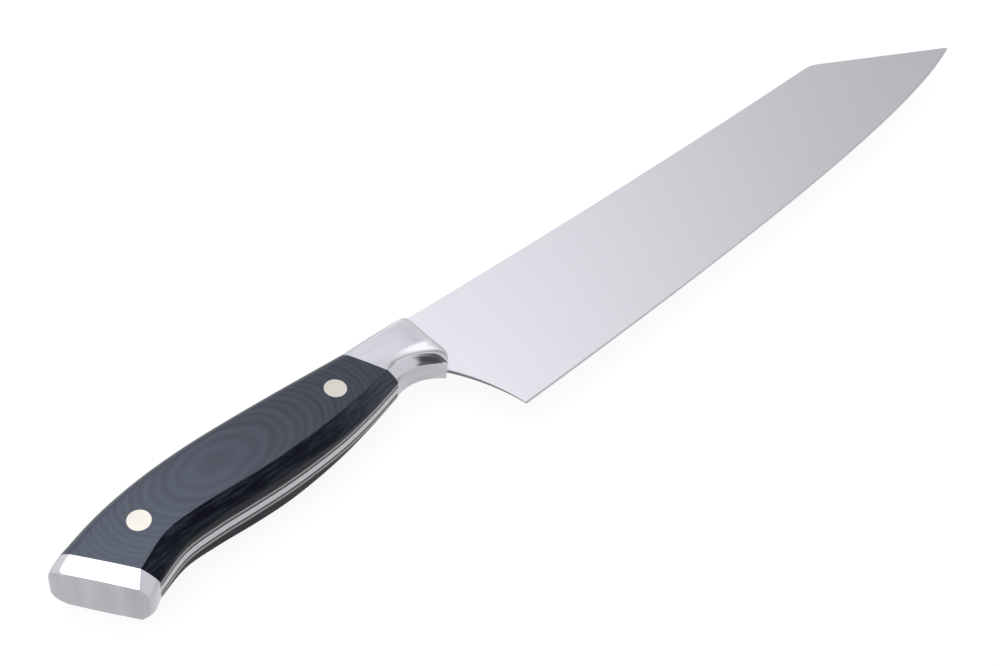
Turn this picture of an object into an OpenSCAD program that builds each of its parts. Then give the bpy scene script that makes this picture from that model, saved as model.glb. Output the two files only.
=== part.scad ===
// Kiritsuke knife, lying on its side: +X runs from butt to tip, the edge looks to -Y,
// the spine to +Y, and +Z is square to the right side of the blade.
// Sizes are set out from the heel: x = 0 and y = 0 at the heel's cutting edge, z = 0 mid-thickness.

/* [Blade] */
// Length of the cutting edge, heel to tip, measured along the knife
blade_l = 240; // [210:1:270]
// Height of the blade at the heel, edge to spine
heel_h = 47.2; // [44:0.2:50]
// Height of the spine above the heel where the clipped tip begins
clip_h = 45.5; // [43:0.1:49]
// Length of the clipped tip, measured along the knife
clip_l = 50.5; // [40:0.5:60]
// Height of the tip above the heel's cutting edge
tip_h = 19.8; // [15:0.2:25]
// How far the spine sags below a straight line
spine_sag = 1.1; // [0:0.1:2]
// Radius of the corner between spine and clipped tip
clip_r = 6; // [2:0.5:12]
// Thickness of the steel at the tang and the heel's spine
stock_t = 2.5; // [2:0.1:3]
// Thickness just behind the cutting edge, before sharpening
edge_t = 0.36; // [0.3:0.02:0.6]
// Thickness that the blade loses over each 100 mm towards the tip
distal_taper = 0.22; // [0.1:0.02:0.3]
// Angle of each sharpened face to the middle plane
sharp_angle = 15; // [12:1:20]
// How far the choil is hollowed in from a straight line
choil_hollow = 1.3; // [0.5:0.1:3]

/* [Handle] */
// Length of the scales along the belly
scale_l = 95; // [85:1:110]
// Full thickness of the handle at its thickest
handle_t = 20; // [17:0.5:24]
// How much each side thins from the thickest place to the bolster
front_thinning = 2.5; // [1.5:0.1:3.5]
// How much each side thins from the thickest place to the butt cap
rear_thinning = 0.9; // [0.4:0.1:1.5]
// How much each side falls away from its summit to its upper and lower ridges
face_crown = 0.28; // [0.1:0.02:0.5]
// Height of the rounded shoulder on the spine side of the handle
shoulder_h = 4.4; // [3:0.2:6]

/* [Liners] */
// Thickness of each dark liner, next to the tang
dark_liner_t = 0.9; // [0.5:0.1:1.2]
// Thickness of each light liner, next to the scale
light_liner_t = 1; // [0.5:0.1:1.2]

/* [Bolster and cap] */
// Length of the bolster along the belly, from its lower front corner
bolster_l = 16.2; // [12:0.2:20]
// Distance from the heel back to the bolster's straight front edge
bolster_set = 6; // [4:0.5:8]
// Lean of the joint between bolster and scales, from square
bolster_lean = 25; // [15:1:30]
// Thickness of the bolster at its front rim
rim_t = 4; // [3.4:0.1:6]
// Depth of the butt cap
cap_l = 6; // [4:0.2:8]
// Lean of the joint between scales and butt cap, from square
cap_lean = 35.4; // [28:0.2:40]

/* [Rivets] */
// Diameter of the rivet heads
head_d = 6.8; // [5:0.1:8]
// Height of the rivet heads
head_h = 2.4; // [1.5:0.1:3]
// Diameter of the rivets' barrels
barrel_d = 4.2; // [3.6:0.1:4.8]
// Diameter of the rivets' shanks
shank_d = 2.5; // [2:0.1:3]
// Distance between the two rivets
rivet_pitch = 70.8; // [60:0.2:75]
// Distance from the bolster's lower front corner back to the front rivet
rivet_set = 34.7; // [32:0.1:40]

/* [Hidden] */

// Clearance between pieces that slide together
fit_gap = 0.03;
// Half thicknesses of the stack: tang, tang with dark liners, tang with all liners
tang_z = stock_t / 2;
dark_z = tang_z + dark_liner_t;
liner_z = dark_z + light_liner_t;

// Blade: where its spine sags most, as a share of its length, and the two points that pull the curve of
// the cutting edge, as shares of its length and of the tip's height
spine_share = 0.52;
edge_shares = [[0.46, 0.1], [0.845, 0.345]];

// Bolster: how far it stands above the spine, its height in front, the curl of its front edge, the
// radius of its upper front corner and the arch of its underside. At its front rim, the height of the
// ridge and the two heights between which the thick foot thins out. Last, how the cheek thins forwards.
bolster_proud = 0.45;
bolster_h = 22.7;
curl_l = 4.1;
curl_h = 9.7;
curl_pull = 0.36;
nose_r = 2.6;
arch_share = 0.54;
arch_h = 7.2;
flare_h = 4.8;
foot_h = 3.7;
foot_top = 10.6;
front_shoulder_h = 0.8;
taper_power = 0.56;

// Handle ribs, equally spaced from bolster to butt cap along the belly. Each row gives the rise of
// the spine side over the blade's spine, the drop of the belly below it, the bevel's height and the
// half width of the flat belly.
ribs = [
    [-0.5, 18.7, 3.6, 3.5], [0, 21.7, 4.3, 3.8], [0.5, 23.9, 4.8, 4.8],
    [0.9, 25.0, 5.1, 6.1], [1.1, 25.4, 5.2, 7.1], [0.7, 25.1, 5.4, 7.2],
    [-0.4, 24.6, 5.6, 6.7], [-2.5, 25.2, 5.5, 5.6], [-6.2, 29.5, 4.9, 3.8]];
// Thickest place of the handle: distance back from the bolster's joint, and drop below the spine
summit_back = 61.7;
summit_drop = 11.2;
crown_reach = 10.4;

// Rivets: height of each below the blade's spine
front_rivet_drop = 11.5;
rear_rivet_drop = 13;
barrel_gap = 0.3;
shank_gap = 0.5;

// Tongue of the tang in the butt cap
tongue_l = 3.2;
tongue_margin = 8;

// Butt cap: how far it widens at the spine, the bevel's height at its end, the rounding of its corners
// at belly and spine, and the share of thickness that it loses
cap_flare = 1.3;
cap_bevel_h = 3.4;
cap_round = 2;
cap_shrink = 0.07;

// Steps along the curves
rib_steps = 40;
edge_steps = 28;
arc_steps = 8;
bolster_steps = 14;
cap_steps = 8;
bevel_steps = 3;
face_steps = 7;
shoulder_steps = 6;

function mix(a, b, t) = a + (b - a) * t;
function bend(a, b, c, t) = mix(mix(a, b, t), mix(b, c, t), t);
function sweep(a, b, c, d, t) = mix(bend(a, b, c, t), bend(b, c, d, t), t);
function steps(n) = [for (i = [0:n]) i / n];
function backwards(list) = [for (i = [len(list) - 1:-1:0]) list[i]];
function column(list, i) = [for (row = list) row[i]];

// Smooth curve through equally spaced rows, u from 0 to 1
function through(rows, u) =
    let (n = len(rows) - 1, i = min(floor(u * n), n - 1), t = u * n - i,
        b = rows[i], c = rows[i + 1],
        a = i > 0 ? rows[i - 1] : 2 * b - c,
        d = i < n - 1 ? rows[i + 2] : 2 * c - b)
    b + (c - a) * t / 2 + (2 * a - 5 * b + 4 * c - d) * t * t / 2
    + (3 * b - a - 3 * c + d) * t * t * t / 2;

// Blade: profile seen square to its side
heel = [0, 0];
tip = [blade_l, tip_h];
clip = [blade_l - clip_l, clip_h];
spine_start = [-bolster_set - nose_r, heel_h];
spine_pull = [mix(-bolster_set, blade_l - clip_l, spine_share), (heel_h + clip_h) / 2 - 2 * spine_sag];
edge_pull_a = [blade_l * edge_shares[0][0], tip_h * edge_shares[0][1]];
edge_pull_b = [blade_l * edge_shares[1][0], tip_h * edge_shares[1][1]];
function edge_point(t) = sweep(heel, edge_pull_a, edge_pull_b, tip, t);

// Bolster: lower and upper ends of its front edge, and the two ends of its joint with the scales
front_low = [-bolster_set - curl_l, heel_h - bolster_h];
front_high = [-bolster_set, heel_h + bolster_proud];
front_bend = [-bolster_set, front_low[1] + curl_h];
front_pull = [-bolster_set, front_low[1] + curl_h * curl_pull];
choil_start = front_low + [0.5, -0.4];
choil_square = [-choil_start[1], choil_start[0]] / norm(choil_start);
choil_pull = (choil_start + heel) / 2 - 2 * choil_hollow * choil_square;
joint_x = front_low[0] - bolster_l;
underside_pull = [mix(joint_x, front_low[0], arch_share), front_low[1] + arch_h];

// Front edge of the bolster: a curl below, then straight up; share s of its height
front_share = curl_h / (front_high[1] - front_low[1]);
function front_point(s) = s < front_share
    ? bend(front_low, front_pull, front_bend, s / front_share)
    : mix(front_bend, front_high, (s - front_share) / (1 - front_share));

// Handle: belly point, spine point, bevel height and flat half width of the section at u
function lean(u) = mix(bolster_lean, cap_lean, u);
function belly_point(u) = [joint_x - scale_l * u, heel_h - through(ribs, u)[1]];
function spine_point(u) = let (rib = through(ribs, u), b = belly_point(u))
    [b[0] - (rib[0] + rib[1]) * tan(lean(u)), heel_h + rib[0]];
function ridge_h(u) = through(ribs, u)[2];
function flat_z(u) = through(ribs, u)[3];

// Half thickness of the handle's crowned face at a place in the profile
summit = [joint_x - summit_back, heel_h - summit_drop];
function face_z(p) =
    let (ahead = p[0] > summit[0],
        share = ahead ? (p[0] - summit[0]) / summit_back : (summit[0] - p[0]) / (scale_l - summit_back))
    handle_t / 2 - (ahead ? front_thinning : rear_thinning) * share * share
    - face_crown * pow((p[1] - summit[1]) / crown_reach, 2);

// Outside of a section as pairs [height, z], from the flat belly's edge over bevel and face to the end
// of the rounded shoulder
function shoulder_pairs(h, shoulder, top_z, end_z) =
    [for (j = [1:shoulder_steps]) let (a = 90 * j / shoulder_steps)
        [h - shoulder + shoulder * sin(a), j == shoulder_steps ? end_z : end_z + (top_z - end_z) * cos(a)]];
function handle_pairs(b, t, ridge, flat) =
    let (h = norm(t - b), dir = (t - b) / h, ridge_z = face_z(b + dir * ridge), top = h - shoulder_h)
    concat(
        [for (v = steps(bevel_steps)) [ridge * (v + v * v) / 2, mix(flat, ridge_z, v)]],
        [for (j = [1:face_steps]) let (v = mix(ridge, top, j / face_steps)) [v, face_z(b + dir * v)]],
        shoulder_pairs(h, shoulder_h, face_z(b + dir * top), liner_z));
function place(b, t, pairs) = let (dir = (t - b) / norm(t - b))
    [for (p = pairs) [b[0] + dir[0] * p[0], b[1] + dir[1] * p[0], p[1]]];

function scale_ring(u) = let (b = belly_point(u), t = spine_point(u))
    place(b, t, concat([[0, liner_z]], handle_pairs(b, t, ridge_h(u), flat_z(u))));

// Bolster: a place in its profile, w from its joint to its front rim, share s from belly to spine
rim_h = norm(front_high - front_low);
function nose(w, length) = let (v = max(0, 1 - (1 - w) * length / nose_r)) nose_r * (1 - sqrt(1 - v * v));
function bolster_belly(w) = bend(belly_point(0), underside_pull, front_low, w);
function bolster_spine(w) =
    let (t0 = spine_point(0), t = mix(t0, front_high, w), b = bolster_belly(w))
    t - (t - b) / norm(t - b) * nose(w, norm(front_high - t0));
function bolster_point(w, s) =
    let (curl = front_point(s) - mix(front_low, front_high, s))
    mix(bolster_belly(w), bolster_spine(w), s) + curl * w * w;

// Front rim: its foot keeps the belly's width, and from there it thins smoothly to the thin rim
rim_z = rim_t / 2;
function ease(v) = let (t = max(0, min(1, v))) t * t * (3 - 2 * t);
function rim_pair(h) = [h, mix(flat_z(0), rim_z, ease((h - foot_h) / (foot_top - foot_h)))];
rim_pairs = concat(
    [for (v = steps(bevel_steps)) rim_pair(flare_h * v)],
    [for (j = [1:face_steps]) rim_pair(mix(flare_h, rim_h - front_shoulder_h, j / face_steps))],
    shoulder_pairs(rim_h, front_shoulder_h, rim_z, (tang_z + rim_z) / 2));
joint_pairs = handle_pairs(belly_point(0), spine_point(0), ridge_h(0), flat_z(0));
joint_h = norm(spine_point(0) - belly_point(0));
function bolster_ring(w) =
    let (outside = [for (k = [0:len(rim_pairs) - 1])
        let (rear = joint_pairs[k], rim = rim_pairs[k],
            p = bolster_point(w, mix(rear[0] / joint_h, rim[0] / rim_h, w)))
        [p[0], p[1], mix(rim[1], rear[1], pow(1 - w, taper_power))]])
    concat(outside, [for (p = backwards(outside)) [p[0], p[1], tang_z]]);

// Butt cap: its sections step away from the joint and round off at belly and spine
cap_out = [-cos(cap_lean), -sin(cap_lean)];
function cap_turn(w) = cap_round * (1 - sqrt(sqrt(1 - pow(w, 4))));
function cap_ring(w) =
    let (b = belly_point(1), t = spine_point(1), dir = (t - b) / norm(t - b), turn = cap_turn(w),
        rear_b = b + cap_out * cap_l * w + dir * turn,
        rear_t = t + cap_out * cap_l * w + dir * (cap_flare * w - turn),
        pairs = handle_pairs(rear_b, rear_t, mix(ridge_h(1), cap_bevel_h, w) - turn, flat_z(1)),
        ring = place(rear_b, rear_t, [for (p = pairs) [p[0], p[1] * (1 - cap_shrink * w)]]))
    concat(ring, [for (p = backwards(ring)) [p[0], p[1], -p[2]]]);

// Closed skin over rings that all have the same number of points, in order from butt to tip. Its ends
// are flat, or with ribbon = true they are strips between the first and second half of the ring.
module loft(rings, ribbon = false) {
    n = len(rings[0]);
    last = len(rings) - 1;
    strips = [for (k = [0:n / 2 - 2]) [k, k + 1, n - 2 - k, n - 1 - k]];
    loops = ribbon ? strips : [[for (k = [0:n - 1]) k]];
    polyhedron(
        points = [for (ring = rings) each ring],
        faces = concat(
            [for (loop = loops) backwards(loop)],
            [for (i = [0:last - 1], k = [0:n - 1]) let (a = i * n + k, b = i * n + (k + 1) % n)
                each [[a, b, b + n], [a, b + n, a + n]]],
            [for (loop = loops) [for (k = loop) last * n + k]]));
}

// Places of the bolster's sections, closer together towards the rim
bolster_w = [for (s = steps(bolster_steps)) 1 - pow(1 - s, 1.5)];

// Outline of tang and liners between bolster and cap
belly_line = [for (u = steps(rib_steps)) belly_point(u)];
spine_line = [for (u = steps(rib_steps)) spine_point(u)];
handle_outline = concat(belly_line, backwards(spine_line));

// Place of the finished knife: origin under the middle of its box, resting on its left side
cap_w = [for (s = steps(cap_steps)) sin(90 * s)];
cap_points = [for (w = cap_w) each cap_ring(w)];
far_back = min(column(cap_points, 0));
high_side = max(column(spine_line, 1));
half_t = max([for (u = steps(rib_steps)) each column(scale_ring(u), 2)]);
model_shift = [-(far_back + blade_l) / 2, -high_side / 2, half_t];

front_rivet = [front_low[0] - rivet_set, heel_h - front_rivet_drop];
rear_rivet = [front_rivet[0] - rivet_pitch, heel_h - rear_rivet_drop];
rivet_spots = [front_rivet, rear_rivet];
function seat_z(spot) = face_z(spot) - head_h;

module set_out() { translate(model_shift) children(); }

// Hole through everything at both rivets
module rivet_holes(d) {
    for (spot = rivet_spots)
        translate([spot[0], spot[1], -handle_t]) cylinder(h = 2 * handle_t, d = d, $fn = 48);
}

// Half space below the right face of the blade, which tapers to the edge and to the tip and stays a
// little within the bar at the spine
spine_ease = 0.01;
rise_y = (tang_z - edge_t / 2 - spine_ease) / heel_h;
fall_x = distal_taper / 2 / 100;
module below_face() {
    turn_y = atan(fall_x);
    turn_x = atan(rise_y * cos(turn_y));
    translate([0, 0, edge_t / 2]) rotate([turn_x, turn_y, 0])
        translate([-blade_l, -blade_l, -2 * blade_l]) cube([3 * blade_l, 2 * blade_l, 2 * blade_l]);
}

// What the whetstone takes off one side along the edge
sharp_z = 0.02;
sharp_reach = 1.4;
function edge_normal(t) = let (d = edge_point(min(t + 0.01, 1)) - edge_point(max(t - 0.01, 0)))
    [-d[1], d[0]] / norm(d);
function sharp_ring(p, n) = [
    [p[0] - n[0], p[1] - n[1], sharp_z - tan(sharp_angle)],
    [p[0] - n[0], p[1] - n[1], tang_z + 1],
    [p[0] + n[0] * sharp_reach, p[1] + n[1] * sharp_reach, tang_z + 1],
    [p[0] + n[0] * sharp_reach, p[1] + n[1] * sharp_reach, sharp_z + sharp_reach * tan(sharp_angle)]];
module sharpening() {
    lead_in = edge_point(0) - (edge_point(0.01) - edge_point(0)) / norm(edge_point(0.01)) * 2;
    run_out = tip + (tip - edge_point(0.99)) / norm(tip - edge_point(0.99)) * 2;
    loft(concat([sharp_ring(lead_in, edge_normal(0))],
        [for (t = steps(edge_steps)) sharp_ring(edge_point(t), edge_normal(t))],
        [sharp_ring(run_out, edge_normal(1))]));
}

module blade_profile() {
    clip_front = clip + (tip - clip) / norm(tip - clip) * clip_r / 2;
    clip_back = clip + (spine_pull - clip) / norm(spine_pull - clip) * clip_r / 2;
    polygon(concat(
        [for (t = steps(edge_steps)) edge_point(t)],
        [for (t = steps(arc_steps)) bend(clip_front, clip, clip_back, t)],
        [for (t = steps(arc_steps)) if (t > 0) bend(clip_back, spine_pull, spine_start, t)],
        [for (s = [0.9, 0.6, 0.3, 0.15]) front_point(s) - [nose_r, 0]],
        [front_low],
        [for (t = steps(arc_steps)) if (t < 1) bend(choil_start, choil_pull, heel, t)]));
}

// The tang stands a hair ahead of the cheeks' front rim
module tang_profile() {
    ahead = [fit_gap, 0];
    polygon(concat(
        [for (rim = backwards(rim_pairs)) bolster_point(1, rim[0] / rim_h) + ahead],
        [for (w = backwards(bolster_w)) if (w > 0 && w < 1) bolster_point(w, 0)],
        handle_outline,
        [for (w = bolster_w) if (w > 0 && w < 1) bolster_point(w, 1) + ahead]));
    tongue_profile(0, 0.5);
}

// The tongue is narrower than the tang and runs on into the cap
module tongue_profile(gap, overlap) {
    b = belly_point(1);
    t = spine_point(1);
    dir = (t - b) / norm(t - b);
    low = b + dir * (tongue_margin - gap);
    high = t - dir * (tongue_margin - gap);
    out = cap_out * (tongue_l + gap);
    polygon([low - cap_out * overlap, high - cap_out * overlap, high + out, low + out]);
}

module blade() {
    color([0.87, 0.87, 0.90]) set_out() difference() {
        union() {
            intersection() {
                linear_extrude(height = stock_t, center = true) blade_profile();
                below_face();
                mirror([0, 0, 1]) below_face();
            }
            linear_extrude(height = stock_t, center = true) tang_profile();
        }
        sharpening();
        mirror([0, 0, 1]) sharpening();
        rivet_holes(barrel_d + 2 * fit_gap);
    }
}

module bolster_cheek() {
    loft([for (w = bolster_w) bolster_ring(w)], ribbon = true);
}

module bolster_right() {
    color([0.82, 0.82, 0.86]) set_out() bolster_cheek();
}

module bolster_left() {
    color([0.82, 0.82, 0.86]) set_out() mirror([0, 0, 1]) bolster_cheek();
}

module butt_cap() {
    color([0.80, 0.80, 0.84]) set_out() difference() {
        loft([for (w = backwards(cap_w)) cap_ring(w)]);
        linear_extrude(height = stock_t + 2 * fit_gap, center = true) tongue_profile(fit_gap, 0.5);
    }
}

module raw_scale() {
    loft([for (u = backwards(steps(rib_steps))) scale_ring(u)]);
}

module scale_blank() {
    difference() {
        raw_scale();
        rivet_holes(barrel_d + 2 * fit_gap);
        for (spot = rivet_spots)
            translate([spot[0], spot[1], seat_z(spot)])
                cylinder(h = handle_t, d = head_d + 2 * fit_gap, $fn = 64);
    }
}

module scale_right() {
    color([0.24, 0.26, 0.31]) set_out() scale_blank();
}

module scale_left() {
    color([0.24, 0.26, 0.31]) set_out() mirror([0, 0, 1]) scale_blank();
}

// Flat spacer between two heights, with the handle's outline
module spacer(from_z, to_z) {
    difference() {
        translate([0, 0, from_z]) linear_extrude(height = to_z - from_z) polygon(handle_outline);
        rivet_holes(barrel_d + 2 * fit_gap);
    }
}

module light_liner_right() {
    color([0.80, 0.80, 0.76]) set_out() spacer(dark_z, liner_z);
}

module light_liner_left() {
    color([0.80, 0.80, 0.76]) set_out() mirror([0, 0, 1]) spacer(dark_z, liner_z);
}

module dark_liner_right() {
    color([0.12, 0.12, 0.14]) set_out() spacer(tang_z, dark_z);
}

module dark_liner_left() {
    color([0.12, 0.12, 0.14]) set_out() mirror([0, 0, 1]) spacer(tang_z, dark_z);
}

// Rivet head, ground off flush with the scale
module rivet_head(spot) {
    intersection() {
        translate([spot[0], spot[1], seat_z(spot)]) cylinder(h = 2 * head_h, d = head_d, $fn = 64);
        raw_scale();
    }
}

// Right half: head and solid shank
module rivet_male(spot) {
    rivet_head(spot);
    translate([spot[0], spot[1], shank_gap - seat_z(spot)])
        cylinder(h = 2 * seat_z(spot) - shank_gap + head_h / 2, d = shank_d, $fn = 48);
}

// Left half: head and barrel, drilled for the shank
module rivet_female(spot) {
    difference() {
        union() {
            mirror([0, 0, 1]) rivet_head(spot);
            translate([spot[0], spot[1], -seat_z(spot) - head_h / 2])
                cylinder(h = 2 * seat_z(spot) + head_h / 2 - barrel_gap, d = barrel_d, $fn = 48);
        }
        translate([spot[0], spot[1], -seat_z(spot)])
            cylinder(h = 2 * handle_t, d = shank_d + 2 * fit_gap, $fn = 48);
    }
}

module front_rivet_male() { color([0.83, 0.81, 0.77]) set_out() rivet_male(front_rivet); }
module front_rivet_female() { color([0.83, 0.81, 0.77]) set_out() rivet_female(front_rivet); }
module rear_rivet_male() { color([0.83, 0.81, 0.77]) set_out() rivet_male(rear_rivet); }
module rear_rivet_female() { color([0.83, 0.81, 0.77]) set_out() rivet_female(rear_rivet); }

blade();
bolster_right();
bolster_left();
butt_cap();
scale_right();
scale_left();
light_liner_right();
light_liner_left();
dark_liner_right();
dark_liner_left();
front_rivet_male();
front_rivet_female();
rear_rivet_male();
rear_rivet_female();
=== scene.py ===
"""Looks of a kiritsuke kitchen knife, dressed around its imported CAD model.

Sizes are in millimetres, set out from the heel: x and y are 0 at the heel's cutting edge and z is 0 in
the middle of the steel. HeelFrame turns them into metres in the CAD frame.
"""

from __future__ import annotations

import logging
from dataclasses import dataclass, field
from enum import Enum
from typing import Iterable

import bmesh
import bpy
import numpy as np
from mathutils import Matrix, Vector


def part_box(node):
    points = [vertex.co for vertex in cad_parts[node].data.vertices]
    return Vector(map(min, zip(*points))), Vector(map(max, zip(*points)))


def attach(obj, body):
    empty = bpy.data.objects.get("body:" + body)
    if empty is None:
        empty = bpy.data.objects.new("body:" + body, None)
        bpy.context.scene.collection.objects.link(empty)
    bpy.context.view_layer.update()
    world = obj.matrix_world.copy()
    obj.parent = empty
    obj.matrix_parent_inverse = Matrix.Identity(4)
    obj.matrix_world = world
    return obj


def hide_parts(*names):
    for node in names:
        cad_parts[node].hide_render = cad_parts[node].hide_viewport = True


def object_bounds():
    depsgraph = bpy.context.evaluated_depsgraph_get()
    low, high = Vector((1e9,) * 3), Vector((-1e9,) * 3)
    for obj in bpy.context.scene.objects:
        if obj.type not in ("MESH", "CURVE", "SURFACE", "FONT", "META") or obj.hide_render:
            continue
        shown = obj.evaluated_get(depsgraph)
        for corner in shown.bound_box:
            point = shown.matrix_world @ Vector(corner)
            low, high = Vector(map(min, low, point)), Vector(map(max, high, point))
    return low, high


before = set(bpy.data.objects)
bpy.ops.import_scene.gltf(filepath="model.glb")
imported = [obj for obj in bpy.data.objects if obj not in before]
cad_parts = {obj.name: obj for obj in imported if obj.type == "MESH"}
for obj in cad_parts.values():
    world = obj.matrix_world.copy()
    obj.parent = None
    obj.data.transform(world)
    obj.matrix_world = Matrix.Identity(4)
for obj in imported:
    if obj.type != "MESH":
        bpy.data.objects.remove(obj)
cad_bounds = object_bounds()

LOG = logging.getLogger("knife")
MM = 0.001
BODY = "root"
Colour = tuple[float, float, float]
Faces = list[tuple[int, ...]]
Socket = bpy.types.NodeSocket


class Side(Enum):
    """Side of the knife: the sign of z that it lies on."""

    RIGHT = 1
    LEFT = -1


class Slot(Enum):
    """Material slots of the knife."""

    BLADE = "blade_steel"
    POLISHED = "polished_steel"
    SCALE = "scale_laminate"
    LIGHT = "light_spacer"
    DARK = "dark_spacer"
    RIVET = "nickel_silver"


def mix(a: np.ndarray, b: np.ndarray, t: np.ndarray) -> np.ndarray:
    """Returns the straight blend from a to b at share t."""
    return a + (b - a) * t


def bend(a: np.ndarray, b: np.ndarray, c: np.ndarray, t: np.ndarray) -> np.ndarray:
    """Returns the quadratic curve from a to c that is pulled towards b, at share t."""
    return mix(mix(a, b, t), mix(b, c, t), t)


def through(rows: np.ndarray, u: np.ndarray) -> np.ndarray:
    """Lays a smooth curve through equally spaced rows: a cubic whose slope at a row is half the step
    between its neighbours.

    Args:
        rows: One row of values per knot.
        u: Places along the curve, from 0 to 1.

    Returns:
        One row of values per place.
    """
    padded = np.vstack([2 * rows[0] - rows[1], rows, 2 * rows[-1] - rows[-2]])
    count = len(rows) - 1
    i = np.minimum(np.floor(u * count).astype(int), count - 1)
    t = (u * count - i)[:, None]
    a, b, c, d = (padded[i + k] for k in range(4))
    square = (2 * a - 5 * b + 4 * c - d) * t**2
    cube = (3 * b - a - 3 * c + d) * t**3
    return b + ((c - a) * t + square + cube) / 2


@dataclass(frozen=True)
class HeelFrame:
    """Place of the heel in the CAD frame, read from the blade's box."""

    blade_l: float = 240.0

    @property
    def origin(self) -> np.ndarray:
        """Returns the heel's cutting edge, mid thickness, in metres."""
        low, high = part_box("blade")
        return np.array([high.x - self.blade_l * MM, low.y, (low.z + high.z) / 2])

    def metres(self, points: np.ndarray) -> np.ndarray:
        """Returns points given in millimetres from the heel, in metres in the CAD frame."""
        return points * MM + self.origin


def mesh_object(name: str, verts: np.ndarray, faces: Faces) -> bpy.types.Object:
    """Makes a mesh object at the origin, with its faces outwards.

    Args:
        name: Name of the piece.
        verts: Points in metres, in the CAD frame.
        faces: Corners of each face.

    Returns:
        The linked object.
    """
    mesh = bpy.data.meshes.new(name)
    mesh.from_pydata(verts.tolist(), [], faces)
    work = bmesh.new()
    work.from_mesh(mesh)
    bmesh.ops.recalc_face_normals(work, faces=work.faces)
    work.to_mesh(mesh)
    work.free()
    piece = bpy.data.objects.new(name, mesh)
    bpy.context.scene.collection.objects.link(piece)
    return piece


def shade(piece: bpy.types.Object, angle: float = 0.5) -> None:
    """Shades a piece smooth, apart from its sharp edges.

    Args:
        piece: The piece.
        angle: Turn in radians above which an edge is sharp.
    """
    mesh = piece.data
    mesh.shade_smooth()
    mesh.set_sharp_from_angle(angle=angle)


def skin(rings: np.ndarray, ribbon: bool = False) -> Faces:
    """Closes a skin over rings: a quad between each four neighbours, and ends over the first and the last
    ring.

    Args:
        rings: Points as (ring, place on the ring, coordinate).
        ribbon: Whether an end is a strip between the two halves of its ring, not one flat face.

    Returns:
        Corners of each face.
    """
    count, size = rings.shape[:2]
    i, k = np.meshgrid(np.arange(count - 1), np.arange(size), indexing="ij")
    following = (k + 1) % size
    near, far = i * size, (i + 1) * size
    quads = np.stack([near + k, near + following, far + following, far + k], -1)
    loop = np.arange(size)[None, :]
    if ribbon:
        half = np.arange(size // 2 - 1)
        loop = np.stack([half, half + 1, size - 2 - half, size - 1 - half], -1)
    ends = [tuple(face) for face in loop[:, ::-1].tolist() + (loop + (count - 1) * size).tolist()]
    return [tuple(q) for q in quads.reshape(-1, 4).tolist()] + ends


def rounded(
        before: np.ndarray, corner: np.ndarray, after: np.ndarray, reach: float | np.ndarray,
        count: int) -> np.ndarray:
    """Rounds a corner of many profiles at once by the quadratic curve between the two points that lie
    reach away from the corner, pulled towards the corner.

    Args:
        before: Point before the corner in each profile.
        corner: The corner in each profile.
        after: Point after the corner in each profile.
        reach: Distance from the corner at which the rounding begins.
        count: Number of points in the rounding.

    Returns:
        Points as (profile, place on the rounding, coordinate).
    """
    back = before - corner
    on = after - corner
    start = corner + reach * back / np.linalg.norm(back, axis=1, keepdims=True)
    end = corner + reach * on / np.linalg.norm(on, axis=1, keepdims=True)
    t = np.linspace(0, 1, count)[None, :, None]
    return bend(start[:, None], corner[:, None], end[:, None], t)


def place(belly: np.ndarray, spine: np.ndarray, profile: np.ndarray) -> np.ndarray:
    """Places profiles in space: height is measured from the belly point towards the spine point.

    Args:
        belly: Belly point of each section.
        spine: Spine point of each section.
        profile: Pairs of height and z, as (section, place, pair).

    Returns:
        Points as (section, place, coordinate).
    """
    way = (spine - belly) / np.linalg.norm(spine - belly, axis=1, keepdims=True)
    plan = belly[:, None] + way[:, None] * profile[..., :1]
    return np.concatenate([plan, profile[..., 1:]], axis=2)


@dataclass(frozen=True)
class Lines:
    """Sections of the handle: where each begins and ends, and the sizes of its lower part."""

    belly: np.ndarray
    spine: np.ndarray
    ridge: np.ndarray
    flat: np.ndarray

    @property
    def span(self) -> np.ndarray:
        """Returns the height of each section."""
        return np.linalg.norm(self.spine - self.belly, axis=1)

    @property
    def way(self) -> np.ndarray:
        """Returns the direction from belly to spine of each section."""
        return (self.spine - self.belly) / self.span[:, None]


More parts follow.
